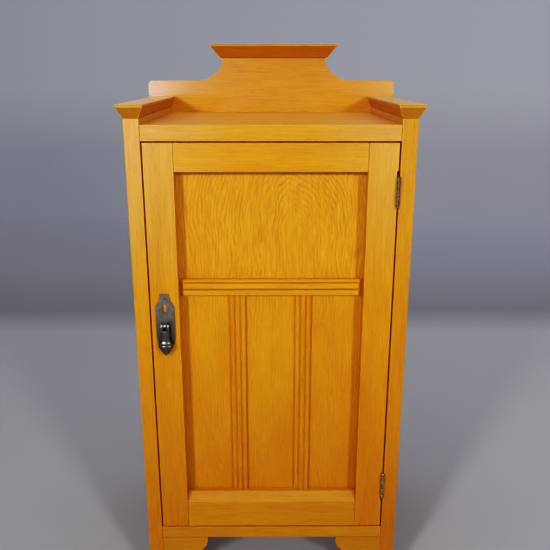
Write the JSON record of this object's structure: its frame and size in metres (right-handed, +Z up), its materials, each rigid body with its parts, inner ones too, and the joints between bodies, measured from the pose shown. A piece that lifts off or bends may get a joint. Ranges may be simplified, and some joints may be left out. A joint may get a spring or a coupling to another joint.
{
  "type": "bedside cupboard",
  "caption": "Upright one-door oak bedside cupboard with a tray top, shaped gallery back, reeded panel door, drop handle and bracket feet.",
  "frame": {"origin": "on the floor, under the middle of the whole object's box", "axes": "+X to the right seen from the front, +Y from the front to the back, +Z up"},
  "size_m": [0.434, 0.3374, 0.8543],
  "materials": {
    "oak": "shellacked golden oak, satin",
    "panel_oak": "figured golden oak veneer, satin",
    "plain_wood": "unpolished pine",
    "bronze": "dark bronzed, rubbed on the high spots",
    "brass": "dull old brass",
    "steel": "bare steel"
  },
  "bodies": {
    "case": {"side_left": "oak", "side_right": "oak", "top_board": "oak", "bottom_board": "oak", "shelf": "oak", "shelf_bearer_left": "plain_wood", "shelf_bearer_right": "plain_wood", "door_stop_upper": "plain_wood", "door_stop_lower": "plain_wood", "back_board_left": "plain_wood", "back_board_centre": "plain_wood", "back_board_right": "plain_wood", "gallery_back": "oak", "crown_cap": "oak", "cap_left": "oak", "cap_right": "oak", "bracket_left": "oak", "bracket_right": "oak", "bracket_block_left": "oak", "bracket_block_right": "oak", "gallery_screw_1": "steel", "gallery_screw_2": "steel", "gallery_screw_3": "steel", "gallery_screw_4": "steel", "hinge_upper_case_leaf": "brass", "hinge_upper_case_screw_1": "brass", "hinge_upper_case_screw_2": "brass", "hinge_upper_pin": "brass", "hinge_lower_case_leaf": "brass", "hinge_lower_case_screw_1": "brass", "hinge_lower_case_screw_2": "brass", "hinge_lower_pin": "brass", "strike_plate": "brass", "strike_screw_1": "brass", "strike_screw_2": "brass"},
    "door": {"door_stile_left": "oak", "door_stile_right": "oak", "door_rail_top": "oak", "door_rail_bottom": "oak", "door_panel": "panel_oak", "door_moulding_cross": "oak", "door_moulding_left": "oak", "door_moulding_right": "oak", "hinge_upper_door_leaf": "brass", "hinge_upper_door_screw_1": "brass", "hinge_upper_door_screw_2": "brass", "hinge_lower_door_leaf": "brass", "hinge_lower_door_screw_1": "brass", "hinge_lower_door_screw_2": "brass", "catch_barrel": "brass", "catch_spring": "steel", "handle_plate": "bronze", "handle_pivot_pin": "bronze", "handle_plate_pin_upper": "bronze", "handle_plate_pin_lower": "bronze"},
    "handle": {"handle_drop": "bronze"},
    "catch": {"catch_ball": "steel"}
  },
  "joints": [
    {"name": "door_swing", "type": "hinge", "parent": "case", "child": "door", "pos_m": [0.1762, -0.15785, 0.41], "axis": [0, 0, 1], "range_deg": [0, 175]},
    {"name": "handle_swing", "type": "hinge", "parent": "door", "child": "handle", "pos_m": [-0.1554, -0.16315, 0.453], "axis": [-1, 0, 0], "range_deg": [0, 95]},
    {"name": "catch_travel", "type": "slide", "parent": "door", "child": "catch", "axis": [1, 0, 0], "range_m": [0, 0.0014], "stiffness_N_per_m": 800, "springref_m": -0.003}
  ]
}
